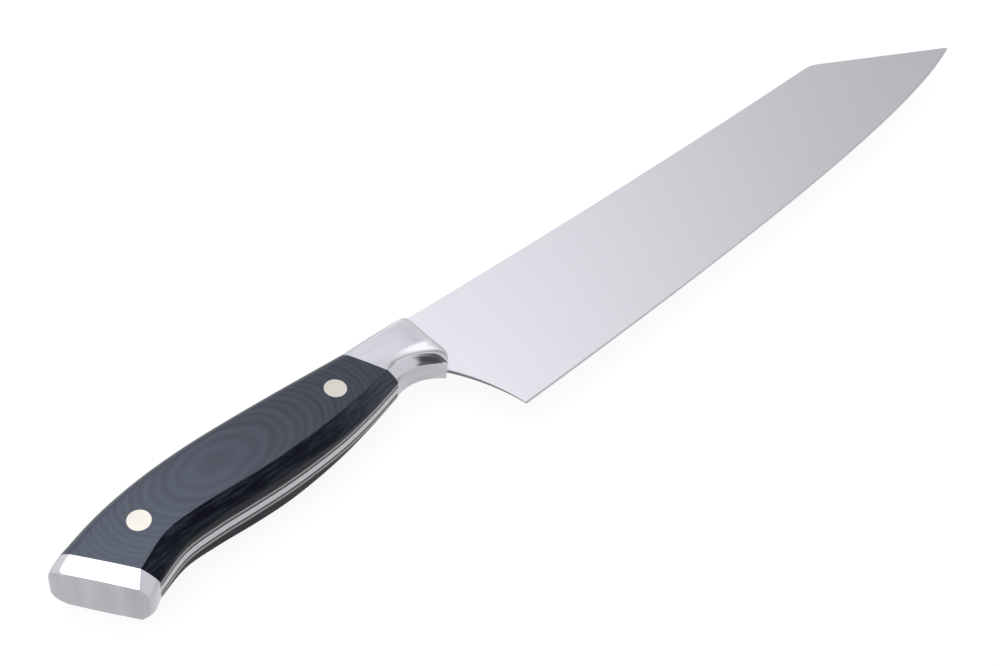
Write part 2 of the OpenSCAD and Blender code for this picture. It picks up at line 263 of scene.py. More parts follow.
@dataclass(frozen=True)
class HandleForm:
    """Form of the handle between bolster and butt cap, with the sizes of the CAD model."""

    heel_h: float = 47.2
    joint_x: float = -26.3
    scale_l: float = 95.0
    bolster_lean: float = 25.0
    cap_lean: float = 35.4
    handle_t: float = 20.0
    front_thinning: float = 2.5
    rear_thinning: float = 0.9
    face_crown: float = 0.28
    crown_reach: float = 10.4
    summit_back: float = 61.7
    summit_drop: float = 11.2
    shoulder_h: float = 4.4
    stack_z: float = 3.15
    tang_z: float = 1.25
    ridge_round: float = 0.22
    belly_round: float = 0.7
    belly_room: float = 1.5
    bevel_steps: int = 14
    face_steps: int = 40
    shoulder_steps: int = 22
    belly_steps: int = 6
    ridge_steps: int = 5
    ribs: tuple[tuple[float, float, float, float], ...] = (
        (-0.5, 18.7, 3.6, 3.5), (0.0, 21.7, 4.3, 3.8), (0.5, 23.9, 4.8, 4.8),
        (0.9, 25.0, 5.1, 6.1), (1.1, 25.4, 5.2, 7.1), (0.7, 25.1, 5.4, 7.2),
        (-0.4, 24.6, 5.6, 6.7), (-2.5, 25.2, 5.5, 5.6), (-6.2, 29.5, 4.9, 3.8))

    @property
    def summit(self) -> np.ndarray:
        """Returns the place of the handle's greatest thickness in the profile."""
        return np.array([self.joint_x - self.summit_back, self.heel_h - self.summit_drop])

    def lines(self, u: np.ndarray) -> Lines:
        """Works out the sections at u, from 0 at the bolster to 1 at the cap. A section leans from square
        by an angle that grows evenly between the two joints.

        Args:
            u: Places of the sections.

        Returns:
            Where each section begins and ends, and the sizes of its lower part.
        """
        rows = through(np.array(self.ribs), u)
        belly = np.stack([self.joint_x - self.scale_l * u, self.heel_h - rows[:, 1]], -1)
        lean = np.tan(np.radians(mix(self.bolster_lean, self.cap_lean, u)))
        spine_x = belly[:, 0] - (rows[:, 0] + rows[:, 1]) * lean
        return Lines(belly, np.stack([spine_x, self.heel_h + rows[:, 0]], -1), rows[:, 2], rows[:, 3])

    def face_z(self, plan: np.ndarray) -> np.ndarray:
        """Works out the crowned face: it falls from its summit with the square of the distance, along the
        knife and across it.

        Args:
            plan: Places in the profile, with x and y last.

        Returns:
            The handle's half thickness at each place.
        """
        along = plan[..., 0] - self.summit[0]
        ahead = along > 0
        reach = np.where(ahead, self.summit_back, self.scale_l - self.summit_back)
        thinning = np.where(ahead, self.front_thinning, self.rear_thinning)
        across = (plan[..., 1] - self.summit[1]) / self.crown_reach
        return self.handle_t / 2 - thinning * (along / reach) ** 2 - self.face_crown * across**2

    def profile(self, lines: Lines, inner_z: float) -> np.ndarray:
        """Draws the half sections: flat belly, slightly convex bevel, crowned face and a shoulder that is
        a quarter ellipse. The ridges are slightly rounded.

        Args:
            lines: The sections.
            inner_z: Where the half section begins and ends, away from the middle plane.

        Returns:
            Pairs of height and z, as (section, place, pair).
        """
        span, way, ridge = lines.span, lines.way, lines.ridge

        def on_face(height: np.ndarray) -> np.ndarray:
            """Returns pairs of height and face z, one row of heights per section."""
            plan = lines.belly[:, None] + way[:, None] * height[..., None]
            return np.stack([height, self.face_z(plan)], -1)

        ridge_z = on_face(ridge[:, None])[:, 0, 1]
        t = np.linspace(0, 1, self.bevel_steps)[None, :]
        bevel_z = mix(lines.flat[:, None], ridge_z[:, None], t)
        bevel = np.stack([ridge[:, None] * (t + t**2) / 2, bevel_z], -1)
        top = span - self.shoulder_h
        face = on_face(mix(ridge[:, None], top[:, None], np.linspace(0, 1, self.face_steps)[None, :]))
        turn = np.radians(np.linspace(0, 90, self.shoulder_steps))[None, :]
        rise = self.shoulder_h * np.sin(turn)
        fall = (face[:, -1, 1] - self.stack_z)[:, None] * np.cos(turn)
        shoulder = np.stack([top[:, None] + rise, self.stack_z + fall], -1)
        zero = np.zeros_like(span)
        start = np.stack([zero, zero + inner_z], -1)
        shrink = np.minimum(1, (lines.flat - inner_z) / (self.belly_room * self.belly_round))[:, None]
        low_corner = rounded(start, bevel[:, 0], bevel[:, 3], self.belly_round * shrink, self.belly_steps)
        ridge_corner = rounded(bevel[:, -3], bevel[:, -1], face[:, 2], self.ridge_round, self.ridge_steps)
        parts = [start[:, None], low_corner, bevel[:, 4:-1], ridge_corner, face[:, 1:], shoulder[:, 1:]]
        if inner_z < self.stack_z:
            parts.append(np.stack([span, zero + inner_z], -1)[:, None])
        return np.concatenate(parts, axis=1)

    def rings(self, u: np.ndarray) -> np.ndarray:
        """Returns the rings of one scale at the sections u."""
        lines = self.lines(u)
        return place(lines.belly, lines.spine, self.profile(lines, self.stack_z))


@dataclass(frozen=True)
class BolsterForm:
    """Form of a bolster cheek, from its joint with the scale to its thin front rim."""

    handle: HandleForm = field(default_factory=HandleForm)
    bolster_set: float = 6.0
    bolster_proud: float = 0.45
    bolster_h: float = 22.7
    curl_l: float = 4.1
    curl_h: float = 9.7
    curl_pull: float = 0.36
    nose_r: float = 2.6
    arch_share: float = 0.54
    arch_h: float = 7.2
    flare_h: float = 4.8
    foot_h: float = 3.7
    foot_top: float = 10.6
    rim_z: float = 2.0
    shoulder_h: float = 0.8
    taper_power: float = 0.56
    soft_passes: int = 60
    soft_share: float = 0.2
    soft_from: int = 8
    soft_to: int = 50
    crowding: float = 1.8
    steps: int = 110

    @property
    def low(self) -> np.ndarray:
        """Returns the lower end of the front edge."""
        return np.array([-self.bolster_set - self.curl_l, self.handle.heel_h - self.bolster_h])

    @property
    def high(self) -> np.ndarray:
        """Returns the corner at the upper end of the front edge."""
        return np.array([-self.bolster_set, self.handle.heel_h + self.bolster_proud])

    def front_point(self, share: np.ndarray) -> np.ndarray:
        """Draws the front edge: a curl below, then straight up.

        Args:
            share: Shares of the edge's height.

        Returns:
            Places in the profile, with x and y last.
        """
        turn = np.array([-self.bolster_set, self.low[1] + self.curl_h])
        pull = np.array([-self.bolster_set, self.low[1] + self.curl_h * self.curl_pull])
        curl_share = self.curl_h / (self.high[1] - self.low[1])
        below = bend(self.low, pull, turn, np.minimum(share / curl_share, 1)[..., None])
        above = mix(turn, self.high, np.maximum((share - curl_share) / (1 - curl_share), 0)[..., None])
        return np.where((share < curl_share)[..., None], below, above)

    def rim_profile(self, rear: np.ndarray, ridge: float, span: float, flat: float) -> np.ndarray:
        """Draws the rim, with a pair for each pair of the joint's profile. Heights keep their share of
        bevel, face and shoulder. The foot keeps the belly's width, and from there the rim thins by a
        smooth step, 3t^2 - 2t^3.

        Args:
            rear: Pairs of height and z at the joint.
            ridge: Height of the bevel at the joint.
            span: Height of the section at the joint.
            flat: Half width of the flat belly.

        Returns:
            Pairs of height and z.
        """
        rim_h = float(np.linalg.norm(self.high - self.low))
        knots = [0, ridge, span - self.handle.shoulder_h, span]
        height = np.interp(rear[:, 0], knots, [0, self.flare_h, rim_h - self.shoulder_h, rim_h])
        t = np.clip((height - self.foot_h) / (self.foot_top - self.foot_h), 0, 1)
        z = mix(flat, self.rim_z, t**2 * (3 - 2 * t))
        over = np.clip((height - rim_h + self.shoulder_h) / self.shoulder_h, 0, 1)
        z = mix(z, (self.handle.tang_z + self.rim_z) / 2, 1 - np.sqrt(1 - over**2))
        on_flat = rear[:, 1] < flat
        z[on_flat] = np.minimum(rear[on_flat, 1], z[on_flat])
        return np.stack([height, z], -1)

    def softened(self, profile: np.ndarray) -> np.ndarray:
        """Rounds the ridge off: in each pass the points of bevel and face move halfway to the middle
        between their neighbours.

        Args:
            profile: Pairs of height and z.

        Returns:
            The same pairs with a soft ridge.
        """
        soft = profile.copy()
        first, last = self.soft_from, self.soft_to
        for _ in range(self.soft_passes):
            neighbours = soft[first - 1:last - 1] + soft[first + 1:last + 1]
            soft[first:last] = soft[first:last] / 2 + neighbours / 4
        return soft

    def rings(self) -> np.ndarray:
        """Lofts the cheek: belly line, front curl and thickness each blend from joint to rim, the
        thickness falls by a power of the way that is left, the spine turns down over the nose by a quarter
        circle, and the ridge soon grows softer. Rings crowd towards the rim.

        Returns:
            Points as (ring, place, coordinate): first the outside, then the inside in the same places.
        """
        joint = self.handle.lines(np.zeros(1))
        rear = self.handle.profile(joint, self.handle.tang_z)[0, 1:-1]
        soft = self.softened(rear)
        span = float(joint.span[0])
        rim_h = float(np.linalg.norm(self.high - self.low))
        front = self.rim_profile(soft, float(joint.ridge[0]), span, float(joint.flat[0]))
        w = (1 - (1 - np.linspace(0, 1, self.steps)) ** self.crowding)[:, None]
        pull = np.array([mix(self.handle.joint_x, self.low[0], self.arch_share), self.low[1] + self.arch_h])
        belly = bend(joint.belly, pull, self.low, w)
        spine = mix(joint.spine, self.high, w)
        left = (1 - w) * np.linalg.norm(self.high - joint.spine)
        over = np.maximum(0, 1 - left / self.nose_r)
        way = (spine - belly) / np.linalg.norm(spine - belly, axis=1, keepdims=True)
        spine = spine - way * self.nose_r * (1 - np.sqrt(1 - over**2))
        section = mix(rear[None], soft[None], np.minimum(w / self.soft_share, 1)[..., None])
        share = mix(section[..., 0] / span, front[None, :, 0] / rim_h, w)
        curl = (self.front_point(share) - mix(self.low, self.high, share[..., None])) * w[..., None] ** 2
        plan = belly[:, None] + (spine - belly)[:, None] * share[..., None] + curl
        z = mix(front[None, :, 1], section[..., 1], (1 - w) ** self.taper_power)
        outside = np.concatenate([plan, z[..., None]], axis=2)
        inside = outside[:, ::-1] * np.array([1, 1, 0]) + np.array([0, 0, self.handle.tang_z])
        return np.concatenate([outside, inside], axis=1)


@dataclass(frozen=True)
class CapForm:
    """Form of the butt cap, from its joint with the scales to its slanted end face."""

    handle: HandleForm = field(default_factory=HandleForm)
    cap_l: float = 6.0
    flare: float = 1.3
    bevel_h: float = 3.4
    corner: float = 2.0
    shrink: float = 0.07
    edge_round: float = 0.30
    edge_steps: int = 5
    steps: int = 34

    def rings(self) -> np.ndarray:
        """Lofts the cap: sections step out square to the joint, widen towards the spine, round off at
        belly and spine by a fourth-power curve, thin evenly, and turn into the end face by a quarter circle.

        Returns:
            Points as (ring, place, coordinate), all the way round both sides.
        """
        handle = self.handle
        lean = np.radians(handle.cap_lean)
        out = np.array([-np.cos(lean), -np.sin(lean)])
        joint = handle.lines(np.ones(1))
        edge = np.linspace(0, np.pi / 2, self.edge_steps)[1:]
        side = np.sin(np.linspace(0, np.pi / 2, self.steps))
        inset = np.concatenate([np.zeros(self.steps), self.edge_round * (1 - np.cos(edge))])[:, None]
        side_step = self.cap_l * side - self.edge_round * side
        edge_step = self.cap_l - self.edge_round * (1 - np.sin(edge))
        step = np.concatenate([side_step, edge_step])[:, None]
        w = np.concatenate([side, np.ones(len(edge))])[:, None]
        turn = self.corner * (1 - (1 - w**4) ** 0.25)
        belly = joint.belly + out * step + joint.way * turn
        spine = joint.spine + out * step + joint.way * (self.flare * w - turn)
        ridge = (mix(joint.ridge, self.bevel_h, w) - turn)[:, 0]
        lines = Lines(belly, spine, ridge, np.repeat(joint.flat, len(w)))
        half = handle.profile(lines, handle.stack_z)[:, 1:]
        height = inset + half[..., 0] * (1 - 2 * inset / lines.span[:, None])
        z = half[..., 1] * (1 - self.shrink * w) - inset
        ring = place(belly, spine, np.stack([height, z], -1))
        return np.concatenate([ring, ring[:, ::-1] * np.array([1, 1, -1])], axis=1)


class NodeTree:
    """Short way to add and link the nodes of a material, a group or the world. The class's values say
    which of a node's numbered sockets are used."""

    colour_inputs: tuple[int, ...] = (0, 6, 7)
    colour_result: int = 2
    number_inputs: tuple[int, ...] = (0, 2, 3)
    spread_inputs: tuple[int, ...] = (0, 3, 4)

    def __init__(self, tree: bpy.types.NodeTree) -> None:
        """Keeps the tree that nodes are added to."""
        self.tree = tree

    def add(self, kind: str, **values: object) -> bpy.types.Node:
        """Adds a node and sets its properties.

        Args:
            kind: The node's type name.
            values: Properties by name.

        Returns:
            The node.
        """
        node = self.tree.nodes.new(kind)
        for key, value in values.items():
            setattr(node, key, value)
        return node

    def join(self, source: Socket, target: Socket) -> None:
        """Links one socket to another."""
        self.tree.links.new(source, target)

    def feed(self, socket: Socket, value: object) -> None:
        """Links a socket, or sets a plain value on it.

        Args:
            socket: The input that is fed.
            value: A socket, a number, a vector or a colour.
        """
        if isinstance(value, Socket):
            self.join(value, socket)
        else:
            socket.default_value = value

    def math(self, operation: str, *inputs: object, clamp: bool = False) -> Socket:
        """Adds a math node.

        Args:
            operation: The operation's name.
            inputs: Sockets or numbers.
            clamp: Whether the result is kept from 0 to 1.

        Returns:
            Its result.
        """
        node = self.add("ShaderNodeMath", operation=operation, use_clamp=clamp)
        for socket, value in zip(node.inputs, inputs):
            self.feed(socket, value)
        return node.outputs[0]

    def times(self, first: object, second: object) -> Socket:
        """Returns the product of two values."""
        return self.math("MULTIPLY", first, second)

    def mean(self, first: object, second: object) -> Socket:
        """Returns the mean of two values."""
        return self.times(self.math("ADD", first, second), 0.5)

    def blend(self, factor: object, first: object, second: object) -> Socket:
        """Mixes two colours.

        Args:
            factor: Share of the second colour.
            first: Colour at 0.
            second: Colour at 1.

        Returns:
            The mixed colour.
        """
        node = self.add("ShaderNodeMix", data_type="RGBA")
        for index, value in zip(self.colour_inputs, (factor, first, second)):
            self.feed(node.inputs[index], value)
        return node.outputs[self.colour_result]

    def choose(self, factor: object, first: object, second: object) -> Socket:
        """Mixes two numbers.

        Args:
            factor: Share of the second number.
            first: Number at 0.
            second: Number at 1.

        Returns:
            The mixed number.
        """
        node = self.add("ShaderNodeMix")
        for index, value in zip(self.number_inputs, (factor, first, second)):
            self.feed(node.inputs[index], value)
        return node.outputs[0]

    def spread(self, value: object, low: object, high: object) -> Socket:
        """Spreads a value evenly.

        Args:
            value: A value from 0 to 1.
            low: Result at 0.
            high: Result at 1.

        Returns:
            The spread value.
        """
        node = self.add("ShaderNodeMapRange")
        for index, given in zip(self.spread_inputs, (value, low, high)):
            self.feed(node.inputs[index], given)
        return node.outputs[0]

    def ease(self, value: object, start: float, end: float, low: float = 0.0, high: float = 1.0) -> Socket:
        """Spreads a value by a smooth step, level at both ends.

        Args:
            value: The value.
            start: Value at which the step begins.
            end: Value at which it ends.
            low: Result before the step.
            high: Result after it.

        Returns:
            The eased value.
        """
        node = self.add("ShaderNodeMapRange", interpolation_type="SMOOTHSTEP")
        for socket, given in zip(node.inputs, (value, start, end, low, high)):
            self.feed(socket, given)
        return node.outputs[0]

    def noise(self, vector: object, scale: float = 1.0, detail: float = 2.0) -> Socket:
        """Adds a noise texture.

        Args:
            vector: Where it is read.
            scale: Its scale.
            detail: How many finer layers it has.

        Returns:
            Its value, from 0 to 1.
        """
        node = self.add("ShaderNodeTexNoise")
        for name, value in (("Vector", vector), ("Scale", scale), ("Detail", detail)):
            self.feed(node.inputs[name], value)
        return node.outputs[0]

    def here(self) -> Socket:
        """Returns the place on the piece in Object coordinates."""
        return self.add("ShaderNodeTexCoord").outputs["Object"]

    def split(self, vector: object) -> tuple[Socket, ...]:
        """Splits a vector.

        Args:
            vector: The vector.

        Returns:
            Its X, Y and Z.
        """
        node = self.add("ShaderNodeSeparateXYZ")
        self.feed(node.inputs[0], vector)
        return tuple(node.outputs)

    def turned(self) -> tuple[Socket, ...]:
        """Returns the X, Y and Z of the surface's normal."""
        return self.split(self.add("ShaderNodeNewGeometry").outputs["Normal"])

    def stretch(self, vector: object, scale: Colour) -> Socket:
        """Scales each axis of a vector by itself.

        Args:
            vector: The vector.
            scale: Factor for each axis.

        Returns:
            The scaled vector.
        """
        node = self.add("ShaderNodeMapping")
        self.feed(node.inputs["Vector"], vector)
        node.inputs["Scale"].default_value = scale
        return node.outputs[0]

    def scaled(self, vector: object, factor: object) -> Socket:
        """Scales a vector or a colour.

        Args:
            vector: The vector or colour.
            factor: One factor for all of it.

        Returns:
            The scaled vector.
        """
        node = self.add("ShaderNodeVectorMath", operation="SCALE")
        self.feed(node.inputs[0], vector)
        self.feed(node.inputs["Scale"], factor)
        return node.outputs[0]


def rgba(colour: Colour) -> tuple[float, float, float, float]:
    """Returns a colour with full alpha."""
    return (*colour, 1.0)


class SharedGroups:
    """Node groups that more than one finish uses, each built once."""

    line_scale: Colour = (5200.0, 90.0, 400.0)
    band_scale: Colour = (160.0, 8.0, 10.0)

    def __init__(self) -> None:
        """Builds the groups."""
        self.brushed = self._brushed()
        self.smudge = self._smudge()

    @staticmethod
    def _group(name: str, inputs: dict[str, float], outputs: Iterable[str]) -> tuple[NodeTree, dict, dict]:
        """Makes a group with float sockets.

        Args:
            name: Name of the group.
            inputs: Default value by input name.
            outputs: Names of the outputs.

        Returns:
            The group's tree, its inputs and its outputs by name.
        """
        group = bpy.data.node_groups.new(name, "ShaderNodeTree")
        for key, value in inputs.items():
            socket = group.interface.new_socket(key, in_out="INPUT", socket_type="NodeSocketFloat")
            socket.default_value = value
        for key in outputs:
            group.interface.new_socket(key, in_out="OUTPUT", socket_type="NodeSocketFloat")
        tree = NodeTree(group)
        source = tree.add("NodeGroupInput")
        sink = tree.add("NodeGroupOutput")
        return tree, {s.name: s for s in source.outputs}, {s.name: s for s in sink.inputs}

    def _brushed(self) -> bpy.types.NodeTree:
        """Builds fine lines left by a belt, which run across the knife from spine to edge.

        Returns:
            A group that gives the lines, and wide bands in which they are stronger or weaker.
        """
        tree, source, sink = self._group("brushed_lines", {"Density": 1.0}, ["Lines", "Bands"])
        here = tree.here()
        fine = tree.noise(tree.stretch(here, self.line_scale), detail=3.0)
        tree.join(tree.times(fine, source["Density"]), sink["Lines"])
        tree.join(tree.noise(tree.stretch(here, self.band_scale)), sink["Bands"])
        return tree.tree

    def _smudge(self) -> bpy.types.NodeTree:
        """Builds the faint uneven haze that wiping leaves on metal and plastic.

        Returns:
            A group that gives the haze.
        """
        tree, source, sink = self._group("wiped_haze", {"Size": 60.0}, ["Haze"])
        tree.join(tree.noise(tree.scaled(tree.here(), source["Size"]), detail=4.0), sink["Haze"])
        return tree.tree


@dataclass(frozen=True)
class Finish:
    """What every finish has: its name, its colour, how rough it is, and by how much less and more rough it
    gets from place to place."""

    name: str
    colour: Colour
    roughness: float
    gloss_span: tuple[float, float]

    def start(self, metallic: float = 0.0) -> tuple[bpy.types.Material, NodeTree, bpy.types.Node]:
        """Makes the material with its plain values set.

        Args:
            metallic: 1 for a metal.

        Returns:
            The material, its tree and its shader.
        """
        material = bpy.data.materials.new(self.name)
        material.use_nodes = True
        shader = material.node_tree.nodes["Principled BSDF"]
        shader.inputs["Base Color"].default_value = rgba(self.colour)
        shader.inputs["Roughness"].default_value = self.roughness
        shader.inputs["Metallic"].default_value = metallic
        return material, NodeTree(material.node_tree), shader

    def use(self, tree: NodeTree, group: bpy.types.NodeTree, **values: float) -> dict[str, Socket]:
        """Places a shared group in the material.

        Args:
            tree: The material's tree.
            group: The shared group.
            values: Input values by name.

        Returns:
            The group's outputs by name.
        """
        node = tree.add("ShaderNodeGroup", node_tree=group)
        for key, value in values.items():
            node.inputs[key].default_value = value
        return {s.name: s for s in node.outputs}

    def darkened(self, tree: NodeTree, mask: Socket, share: float) -> Socket:
        """Returns the finish's colour, brought down to a share of it where a mask is 1."""
        return tree.blend(mask, rgba(self.colour), rgba(tuple(share * c for c in self.colour)))

    def uneven(self, tree: NodeTree, value: Socket) -> Socket:
        """Returns a roughness that a value from 0 to 1 moves through the finish's span."""
        less, more = self.gloss_span
        return tree.spread(value, self.roughness - less, self.roughness + more)

    def cover(
            self, tree: NodeTree, shader: bpy.types.Node, colour: Socket, roughness: Socket, height: Socket,
            depth_mm: float) -> None:
        """Feeds the shader: colour, roughness and a surface that is raised by a height.

        Args:
            tree: The material's tree.
            shader: Its shader.
            colour: The colour.
            roughness: The roughness.
            height: A height from 0 to 1.
            depth_mm: What a height of 1 raises the surface by, in millimetres.
        """
        tree.join(colour, shader.inputs["Base Color"])
        tree.join(roughness, shader.inputs["Roughness"])
        bump = tree.add("ShaderNodeBump")
        bump.inputs["Strength"].default_value = 1.0
        bump.inputs["Distance"].default_value = depth_mm * MM
        tree.join(height, bump.inputs["Height"])
        tree.join(bump.outputs[0], shader.inputs["Normal"])


@dataclass(frozen=True)
class Patch:
    """Colour and roughness of a part of the surface that is set apart: the edge and the underside are
    finished in another way, and the choil's patch is painted shade.
    """

    colour: Colour
    roughness: float


@dataclass(frozen=True)
class SatinSteel(Finish):
    """Blade steel, brushed from spine to edge with a fine belt. What faces down has its own finish: matt
    along the edge, polished between the bolster cheeks and satin on the tang; the choil is painted dark, as
    painted shade."""

    name: str = "satin_blade_steel"
    colour: Colour = (0.486, 0.477, 0.511)
    roughness: float = 0.31
    gloss_span: tuple[float, float] = (0.025, 0.045)
    haze_scale: float = 22.0
    line_share: float = 0.93
    line_depth_mm: float = 0.0012
    edge: Patch = Patch((0.47, 0.465, 0.49), 0.6)
    under: Patch = Patch((0.47, 0.47, 0.50), 0.14)
    # Painted shade: the choil, which looks back and down, is painted dark
    choil_shade: Patch = Patch((0.20, 0.20, 0.21), 0.4)
    edge_turn: float = -0.12
    under_turn: float = -0.6
    choil_turn: float = -0.5
    cheek_from: float = -26.3
    choil_from: float = -10.0
    choil_to: float = 0.3

    def build(self, groups: SharedGroups, heel_x: float) -> bpy.types.Material:
        """Builds the material: the lines vary colour, gloss and height a little.

        Args:
            groups: The shared node groups.
            heel_x: The heel's place along the knife, in metres.

        Returns:
            The material.
        """
        material, tree, shader = self.start(metallic=1.0)
        brushed = self.use(tree, groups.brushed, Density=1.0)
        haze = self.use(tree, groups.smudge, Size=self.haze_scale)["Haze"]
        satin = self.darkened(tree, brushed["Lines"], self.line_share)
        gloss = self.uneven(tree, tree.mean(brushed["Bands"], haze))
        normal_x, normal_y, _ = tree.turned()
        along = tree.split(tree.here())[0]

        def beyond(limit_mm: float) -> Socket:
            """Returns 1 in front of a place along the knife and 0 behind it."""
            return tree.math("GREATER_THAN", along, heel_x + limit_mm * MM)

        def below(normal: Socket, limit: float, within: Socket) -> Socket:
            """Returns 1 where a normal lies below its limit within a stretch of the knife."""
            return tree.times(tree.math("LESS_THAN", normal, limit), within)

        at_cheek = tree.math("SUBTRACT", beyond(self.cheek_from), beyond(self.choil_from))
        at_choil = tree.math("SUBTRACT", beyond(self.choil_from), beyond(self.choil_to))
        # The choil's patch is painted shade
        masks = {
            self.edge: below(normal_y, self.edge_turn, beyond(self.choil_to)),
            self.under: below(normal_y, self.under_turn, at_cheek),
            self.choil_shade: below(normal_x, self.choil_turn, at_choil)}
        for patch, mask in masks.items():
            satin = tree.blend(mask, satin, rgba(patch.colour))
            gloss = tree.choose(mask, gloss, patch.roughness)
        self.cover(tree, shader, satin, gloss, brushed["Lines"], self.line_depth_mm)
        return material


@dataclass(frozen=True)
class PolishedSteel(Finish):
    """Steel of bolster and cap, polished, with soft bands and the faint haze of wiping."""

    name: str = "polished_bolster_steel"
    colour: Colour = (0.52, 0.515, 0.555)
    roughness: float = 0.12
    gloss_span: tuple[float, float] = (0.04, 0.07)
    haze_scale: float = 70.0
    haze_depth_mm: float = 0.02
    band_scale: Colour = (25.0, 150.0, 18.0)
    band_edges: tuple[float, float] = (0.3, 0.7)
    band_share: float = 0.86
    end_turn: float = -0.7
    # Painted shade and painted reflection on the cap's end face: it is darkened and banded
    end_reflection_scale: Colour = (60.0, 330.0, 12.0)
    end_painted_shade: float = 0.90
    end_reflection_spread: float = 0.12

    def build(self, groups: SharedGroups) -> bpy.types.Material:
        """Builds the material: bands from hand polishing vary the colour, and haze varies the gloss. The
        cap's end face, which looks back along the knife, is painted darker in bands: painted shade and
        painted reflection.

        Args:
            groups: The shared node groups.

        Returns:
            The material.
        """
        material, tree, shader = self.start(metallic=1.0)
        haze = self.use(tree, groups.smudge, Size=self.haze_scale)["Haze"]
        here = tree.here()
        bands = tree.ease(tree.noise(tree.stretch(here, self.band_scale), detail=1.5), *self.band_edges)
        polished = self.darkened(tree, bands, self.band_share)
        # Painted shade and painted reflection: the end face, found by its normal, is darker in bands
        painted_end_reflections = tree.noise(tree.stretch(here, self.end_reflection_scale))
        share = tree.spread(painted_end_reflections, self.end_painted_shade - self.end_reflection_spread, self.end_painted_shade + self.end_reflection_spread)
        at_end = tree.math("LESS_THAN", tree.turned()[0], self.end_turn)
        polished = tree.scaled(polished, tree.choose(at_end, 1.0, share))
        self.cover(tree, shader, polished, self.uneven(tree, haze), haze, self.haze_depth_mm)
        return material


@dataclass(frozen=True)
class NickelSilver(Finish):
    """Rivet metal, warm and ground flush with the scales."""

    name: str = "nickel_silver_rivet"
    colour: Colour = (0.455, 0.435, 0.40)
    roughness: float = 0.32
    gloss_span: tuple[float, float] = (0.04, 0.06)
    line_density: float = 0.8
    line_share: float = 0.9
    line_depth_mm: float = 0.001

    def build(self, groups: SharedGroups) -> bpy.types.Material:
        """Builds the material: grinding lines vary colour, gloss and height.

        Args:
            groups: The shared node groups.

        Returns:
            The material.
        """
        material, tree, shader = self.start(metallic=1.0)
        brushed = self.use(tree, groups.brushed, Density=self.line_density)
        metal = self.darkened(tree, brushed["Lines"], self.line_share)
        gloss = self.uneven(tree, brushed["Bands"])
        self.cover(tree, shader, metal, gloss, brushed["Lines"], self.line_depth_mm)
        return material


